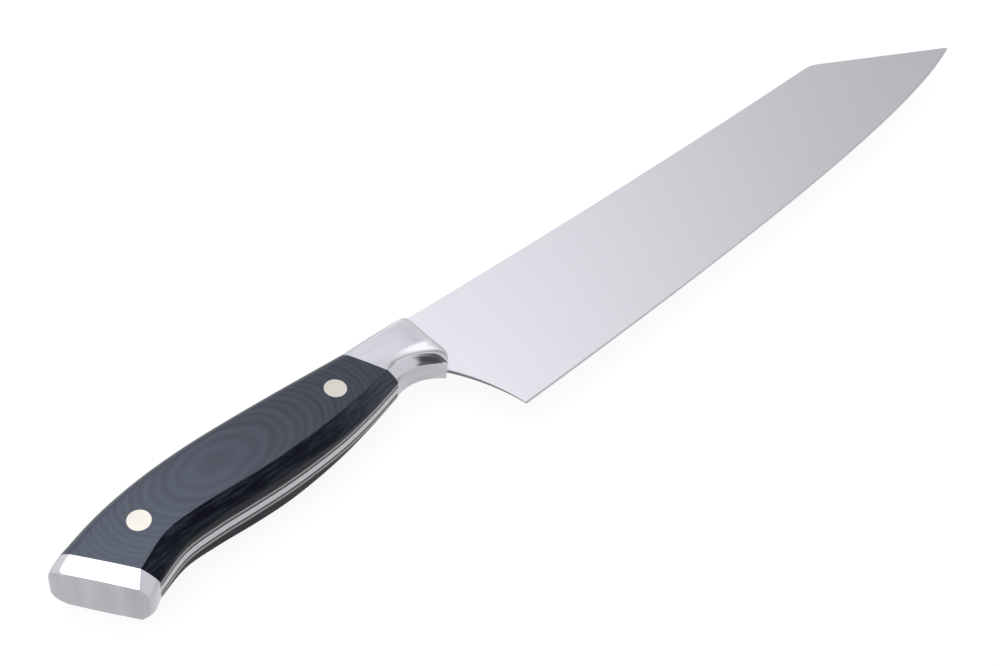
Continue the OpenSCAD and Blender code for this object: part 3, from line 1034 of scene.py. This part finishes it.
@dataclass(frozen=True)
class Laminate(Finish):
    """Dark scale laminate: thin fabric layers, which the crowned face cuts into contour rings. Bevel and
    belly cut across the layers, so they are streaked; their lower sheen is painted shade."""

    name: str = "layered_scale_stock"
    colour: Colour = (0.004, 0.004, 0.008)
    roughness: float = 0.36
    gloss_span: tuple[float, float] = (0.06, 0.10)
    haze_scale: float = 90.0
    light_layer: Colour = (0.018, 0.020, 0.030)
    layer_mm: float = 0.12
    slow_layers: float = 0.43
    layer_depth: float = 0.36
    layer_share: float = 0.62
    waver_mm: float = 0.035
    waver_scale: float = 140.0
    weave_scale: float = 2600.0
    weave_depth_mm: float = 0.004
    streak_scale: Colour = (110.0, 700.0, 1500.0)
    streak_edges: tuple[float, float] = (0.42, 0.66)
    cut_turn: tuple[float, float] = (-0.15, -0.40)
    sheen: Colour = (0.69, 0.79, 1.0)
    sheen_spread: float = 0.16
    face_sheen: float = 0.62
    # Painted sheen: the face's sheen grows towards the cap, the bevel's near the bolster
    front_painted_sheen_share: float = 0.76
    rear_painted_sheen_share: float = 1.42
    # Painted shade: the lower sheen where the surface turns down from the face
    cut_sheen_painted_shade: float = 0.115
    front_cut_painted_sheen: float = 0.62
    front_cut_l: float = 34.0

    def build(self, groups: SharedGroups, front_x: float, rear_x: float) -> bpy.types.Material:
        """Builds the material: a layer's colour goes by its height, which wavers a little, and specks of
        the cut weave vary colour, gloss and height. Where the surface turns down from the face, the sheen
        fades, a painted shade, and long streaks take the place of the rings. The face's sheen grows from the
        bolster to the cap, and the bevel's sheen falls off behind the bolster, both painted sheen.

        Args:
            groups: The shared node groups.
            front_x: Place of the scales' front end along the knife, in metres.
            rear_x: Place of their rear end.

        Returns:
            The material.
        """
        material, tree, shader = self.start()
        here = tree.here()
        along, _, height = tree.split(here)
        cut = tree.ease(tree.turned()[1], *self.cut_turn)
        weave = tree.noise(here, self.weave_scale)
        ringed = tree.math(
            "ADD", tree.times(self.layers(tree, here, height), self.layer_share),
            tree.times(weave, 1 - self.layer_share), clamp=True)
        long = tree.noise(tree.stretch(here, self.streak_scale), detail=4.0)
        light = tree.choose(cut, ringed, tree.ease(long, *self.streak_edges))
        shader.inputs["Specular Tint"].default_value = rgba(self.sheen)
        # The plain sheen is for the export, which drops the link
        shader.inputs["Specular IOR Level"].default_value = self.face_sheen
        # Painted sheen: the face's sheen grows towards the cap, and the bevel's is raised near the bolster
        face = tree.ease(
            along, front_x, rear_x, self.face_sheen * self.front_painted_sheen_share, self.face_sheen * self.rear_painted_sheen_share)
        bevel = tree.ease(
            along, front_x - self.front_cut_l * MM, front_x, self.cut_sheen_painted_shade, self.front_cut_painted_sheen)
        patchy = tree.spread(light, 1 - self.sheen_spread, 1 + self.sheen_spread)
        # The lower sheen where the surface turns down is painted shade
        tree.join(tree.times(tree.choose(cut, face, bevel), patchy), shader.inputs["Specular IOR Level"])
        haze = self.use(tree, groups.smudge, Size=self.haze_scale)["Haze"]
        fabric = tree.blend(light, rgba(self.colour), rgba(self.light_layer))
        gloss = self.uneven(tree, tree.mean(light, haze))
        self.cover(tree, shader, fabric, gloss, weave, self.weave_depth_mm)
        return material

    def layers(self, tree: NodeTree, here: Socket, height: Socket) -> Socket:
        """Makes the layers: a sine of the height, with half as much of a slower one.

        Args:
            tree: The material's tree.
            here: The place on the piece.
            height: Its height.

        Returns:
            How light the layer is, from 0 to 1.
        """
        waver = tree.spread(
            tree.noise(here, self.waver_scale, detail=3.0), -self.waver_mm * MM, self.waver_mm * MM)
        turns = tree.times(tree.math("ADD", height, waver), 2 * np.pi / (self.layer_mm * MM))
        slow = tree.math("SINE", tree.times(turns, self.slow_layers))
        wave = tree.math("ADD", tree.math("SINE", turns), tree.times(slow, 0.5))
        return tree.math("ADD", tree.times(wave, self.layer_depth), 0.5, clamp=True)


@dataclass(frozen=True)
class Spacer(Finish):
    """Liner sheet between tang and scale, with a fine fibrous grain along its edge."""

    name: str = "spacer"
    colour: Colour = (0.50, 0.50, 0.49)
    roughness: float = 0.45
    gloss_span: tuple[float, float] = (0.08, 0.08)
    haze_scale: float = 120.0
    fibre_share: float = 0.7
    fibre_depth_mm: float = 0.002

    def build(self, groups: SharedGroups) -> bpy.types.Material:
        """Builds the material: fibres and haze vary colour, gloss and height.

        Args:
            groups: The shared node groups.

        Returns:
            The material.
        """
        material, tree, shader = self.start()
        haze = self.use(tree, groups.smudge, Size=self.haze_scale)["Haze"]
        fibres = self.use(tree, groups.brushed, Density=1.0)["Lines"]
        sheet = self.darkened(tree, fibres, self.fibre_share)
        self.cover(tree, shader, sheet, self.uneven(tree, haze), fibres, self.fibre_depth_mm)
        return material


def dress(piece: bpy.types.Object, material: bpy.types.Material) -> None:
    """Gives a piece its material.

    Args:
        piece: The piece or CAD node.
        material: Its finish.
    """
    piece.data.materials.clear()
    piece.data.materials.append(material)


@dataclass(frozen=True)
class Handle:
    """Scales, bolster cheeks and butt cap as smooth surfaces that stand for their CAD nodes."""

    heel: HeelFrame
    form: HandleForm = field(default_factory=HandleForm)
    bolster: BolsterForm = field(default_factory=BolsterForm)
    cap: CapForm = field(default_factory=CapForm)
    head_d: float = 6.86
    barrel_d: float = 4.26
    seat_depth: float = 2.4
    drill_reach: float = 30.0
    drill_corners: int = 96
    scale_steps: int = 260

    def piece(self, name: str, rings: np.ndarray, side: Side, ribbon: bool = False) -> bpy.types.Object:
        """Makes a piece from rings, turned over for the left side and kept within the CAD box.

        Args:
            name: Name of the piece.
            rings: Its rings in millimetres from the heel.
            side: The side that it lies on.
            ribbon: Whether its ends are strips between the two halves of a ring.

        Returns:
            The linked piece.
        """
        turned = rings * np.array([1, 1, side.value])
        verts = np.clip(self.heel.metres(turned.reshape(-1, 3)), *map(np.array, cad_bounds))
        return mesh_object(name, verts, skin(rings, ribbon))

    def drill(self, scale: bpy.types.Object, side: Side) -> None:
        """Cuts the rivets' seats and barrel holes out of a scale, in the CAD model's places.

        Args:
            scale: The scale.
            side: The side that it lies on.
        """
        node = "male" if side is Side.RIGHT else "female"
        for end in ("front", "rear"):
            low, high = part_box(f"{end}_rivet_{node}")
            x, y = (low.x + high.x) / 2, (low.y + high.y) / 2
            spot = (np.array([x, y]) - self.heel.origin[:2]) / MM
            seat = (self.form.face_z(spot) - self.seat_depth) * MM
            mid = self.heel.origin[2]
            far = mid + side.value * self.drill_reach * MM
            for diameter, start in ((self.head_d, seat), (self.barrel_d, 0.0)):
                self.bore(scale, (x, y), mid + side.value * start, far, diameter)

    def bore(
            self, scale: bpy.types.Object, spot: tuple[float, float], near: float, far: float,
            diameter: float) -> None:
        """Cuts a round hole out of a scale, square to the knife's middle plane.

        Args:
            scale: The scale.
            spot: Place of the hole's axis, in metres.
            near: Height at which the hole begins, in metres.
            far: Height at which it ends, in metres.
            diameter: The hole's diameter in millimetres.
        """
        radius = diameter * MM / 2
        work = bmesh.new()
        bmesh.ops.create_cone(
            work, cap_ends=True, segments=self.drill_corners, radius1=radius, radius2=radius,
            depth=abs(far - near), matrix=Matrix.Translation((*spot, (near + far) / 2)))
        mesh = bpy.data.meshes.new("drill")
        work.to_mesh(mesh)
        work.free()
        tool = bpy.data.objects.new("drill", mesh)
        bpy.context.scene.collection.objects.link(tool)
        cut = scale.modifiers.new("drill", "BOOLEAN")
        cut.operation = "DIFFERENCE"
        cut.object = tool
        cut.solver = "EXACT"
        bpy.context.view_layer.update()
        done = scale.evaluated_get(bpy.context.evaluated_depsgraph_get())
        result = bpy.data.meshes.new_from_object(done)
        scale.modifiers.clear()
        scale.data = result
        bpy.data.objects.remove(tool)

    def build(self, laminate: bpy.types.Material, polished: bpy.types.Material) -> None:
        """Builds and dresses all the handle's surfaces.

        Args:
            laminate: Finish of the scales.
            polished: Finish of bolster and cap.
        """
        for side in Side:
            word = side.name.lower()
            rings = self.form.rings(np.linspace(0, 1, self.scale_steps))
            scale = self.piece(f"handle_scale_{word}", rings, side)
            self.drill(scale, side)
            self.finish(scale, f"scale_{word}", laminate, Slot.SCALE)
            cheek = self.piece(f"bolster_cheek_{word}", self.bolster.rings(), side, ribbon=True)
            self.finish(cheek, f"bolster_{word}", polished, Slot.POLISHED)
        cap = self.piece("handle_cap", self.cap.rings(), Side.RIGHT)
        self.finish(cap, "butt_cap", polished, Slot.POLISHED)

    @staticmethod
    def finish(piece: bpy.types.Object, node: str, material: bpy.types.Material, slot: Slot) -> None:
        """Shades and dresses a piece, puts it on the body and hides the CAD node that it stands for.

        Args:
            piece: The new piece.
            node: The CAD node that it replaces.
            material: Its finish.
            slot: Not used.
        """
        shade(piece)
        dress(piece, material)
        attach(piece, BODY)
        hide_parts(node)
        LOG.info("%s stands for %s with %d faces", piece.name, node, len(piece.data.polygons))


class SteelAndLiners:
    """CAD nodes that keep their own shape: blade with tang, liners and rivets."""

    def build(self, finishes: dict[Slot, bpy.types.Material]) -> None:
        """Dresses each node with its finish.

        Args:
            finishes: Material by slot.
        """
        rivets = [f"{end}_rivet_{half}" for end in ("front", "rear") for half in ("male", "female")]
        nodes = {
            Slot.BLADE: ["blade"],
            Slot.LIGHT: ["light_liner_right", "light_liner_left"],
            Slot.DARK: ["dark_liner_right", "dark_liner_left"],
            Slot.RIVET: rivets}
        for slot, names in nodes.items():
            for name in names:
                dress(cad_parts[name], finishes[slot])
                LOG.info("%s is dressed as %s", name, slot.value)


@dataclass(frozen=True)
class Panel:
    """Bright panel or dark gap in the studio's dome, placed by its angles in degrees."""

    azimuth: float
    elevation: float
    core: float
    rim: float
    level: float

    @property
    def direction(self) -> Colour:
        """Returns the unit vector towards the panel's middle."""
        turn, rise = np.radians(self.azimuth), np.radians(self.elevation)
        return tuple(map(float, (np.cos(turn) * np.cos(rise), np.sin(turn) * np.cos(rise), np.sin(rise))))


@dataclass
class Studio:
    """Floor, light and camera round the knife."""

    heel: HeelFrame
    camera_at: Colour = (-261.5766, -207.2910, 410.5500)
    yaw: float = 0.7026523
    pitch: float = 0.8510332
    roll: float = 0.1352925
    focal_px: float = 1766.945
    sensor_mm: float = 36.0
    image_w: float = 1000.0
    floor_half: float = 4.0
    floor_colour: Colour = (0.13, 0.13, 0.132)
    floor_glow: float = 0.90
    lamp_at: Colour = (-0.1, 0.25, 1.1)
    lamp_size: float = 0.9
    lamp_energy: float = 1.2
    dome_colour: Colour = (0.985, 0.985, 1.0)
    dome_level: float = 1.25
    panels: tuple[Panel, ...] = (
        Panel(45, 76, 10, 36, 2.5),
        Panel(19, 35, 4, 17, 0.70),
        Panel(38, 32, 3, 9, 1.36),
        Panel(3, 64, 7, 14, 0.15),
        Panel(-55, 68, 13, 21, 0.12),
        Panel(-86, 54, 10, 19, 0.15),
        Panel(-104, 28, 18, 30, 0.20),
        Panel(-155, 56, 15, 28, 0.25),
        Panel(42, 19, 4, 12, 2.0))

    def build(self) -> None:
        """Builds the whole studio."""
        self.camera()
        self.floor()
        self.world()
        self.lamps()
        bpy.context.scene.view_settings.view_transform = "Standard"

    def camera(self) -> None:
        """Sets the camera: its forward direction comes from yaw and pitch, and roll turns its frame."""
        flat = np.cos(self.pitch)
        forward = np.array([np.cos(self.yaw) * flat, np.sin(self.yaw) * flat, -np.sin(self.pitch)])
        level = np.cross(forward, [0, 0, 1])
        level /= np.linalg.norm(level)
        over = np.cross(level, forward)
        right = np.cos(self.roll) * level + np.sin(self.roll) * over
        up = np.cos(self.roll) * over - np.sin(self.roll) * level
        data = bpy.data.cameras.new("camera")
        data.sensor_width = self.sensor_mm
        data.sensor_fit = "HORIZONTAL"
        data.lens = self.focal_px * data.sensor_width / self.image_w
        data.clip_start = 0.01
        camera = bpy.data.objects.new("camera", data)
        bpy.context.scene.collection.objects.link(camera)
        at = self.heel.metres(np.array(self.camera_at))
        turned = np.eye(4)
        turned[:3, :3] = np.stack([right, up, -forward], 1)
        turned[:3, 3] = at
        camera.matrix_world = Matrix(turned.tolist())
        bpy.context.scene.camera = camera

    def floor(self) -> None:
        """Makes the floor under the knife: it keeps the shadow, and looks white to camera and metal."""
        n = self.floor_half
        corners = np.array([[-n, -n, 0], [n, -n, 0], [n, n, 0], [-n, n, 0]], float)
        floor = mesh_object("studio_floor", corners, [(0, 1, 2, 3)])
        material = bpy.data.materials.new("studio_floor")
        material.use_nodes = True
        tree = NodeTree(material.node_tree)
        shader = material.node_tree.nodes["Principled BSDF"]
        shader.inputs["Base Color"].default_value = rgba(self.floor_colour)
        shader.inputs["Roughness"].default_value = 1.0
        shader.inputs["Specular IOR Level"].default_value = 0.0
        shader.inputs["Emission Color"].default_value = (1, 1, 1, 1)
        seen = tree.add("ShaderNodeLightPath").outputs
        rays = tree.math("ADD", seen["Is Camera Ray"], seen["Is Glossy Ray"], clamp=True)
        rays = tree.math("ADD", rays, seen["Is Transmission Ray"], clamp=True)
        tree.join(tree.times(rays, self.floor_glow), shader.inputs["Emission Strength"])
        floor.data.materials.append(material)

    def world(self) -> None:
        """Lights the scene from a soft dome: an even level, on which panels and dark gaps lie one over the
        other. A panel reaches full strength within its core and fades smoothly to its rim."""
        world = bpy.data.worlds.new("studio_dome")
        world.use_nodes = True
        bpy.context.scene.world = world
        tree = NodeTree(world.node_tree)
        direction = tree.add("ShaderNodeTexCoord").outputs["Generated"]
        level: object = self.dome_level
        for panel in self.panels:
            facing = tree.add("ShaderNodeVectorMath", operation="DOT_PRODUCT")
            tree.join(direction, facing.inputs[0])
            facing.inputs[1].default_value = panel.direction
            rim, core = (float(np.cos(np.radians(angle))) for angle in (panel.rim, panel.core))
            level = tree.choose(tree.ease(facing.outputs["Value"], rim, core), level, panel.level)
        background = world.node_tree.nodes["Background"]
        background.inputs[0].default_value = rgba(self.dome_colour)
        tree.join(level, background.inputs[1])

    def lamps(self) -> None:
        """Adds one wide soft lamp overhead, which gives the knife its soft shadow."""
        data = bpy.data.lights.new("overhead", "AREA")
        data.shape = "DISK"
        data.size = self.lamp_size
        data.energy = self.lamp_energy
        lamp = bpy.data.objects.new("overhead", data)
        lamp.location = self.lamp_at
        bpy.context.scene.collection.objects.link(lamp)
        bpy.context.view_layer.update()
        aim = -lamp.location.normalized()
        lamp.rotation_euler = aim.to_track_quat("-Z", "Y").to_euler()


def main() -> None:
    """Builds the studio, dresses the CAD nodes and builds the handle's smooth surfaces."""
    logging.basicConfig(level=logging.INFO, format="%(name)s: %(message)s")
    heel = HeelFrame()
    Studio(heel).build()
    groups = SharedGroups()
    scale_low, scale_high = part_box("scale_right")
    finishes = {
        Slot.BLADE: SatinSteel().build(groups, float(heel.origin[0])),
        Slot.POLISHED: PolishedSteel().build(groups),
        Slot.SCALE: Laminate().build(groups, scale_high.x, scale_low.x),
        Slot.LIGHT: Spacer("pale_spacer_sheet").build(groups),
        Slot.DARK: Spacer("dark_spacer_sheet", (0.018, 0.018, 0.022), 0.5).build(groups),
        Slot.RIVET: NickelSilver().build(groups)}
    SteelAndLiners().build(finishes)
    Handle(heel).build(finishes[Slot.SCALE], finishes[Slot.POLISHED])


if __name__ == "__main__":
    main()
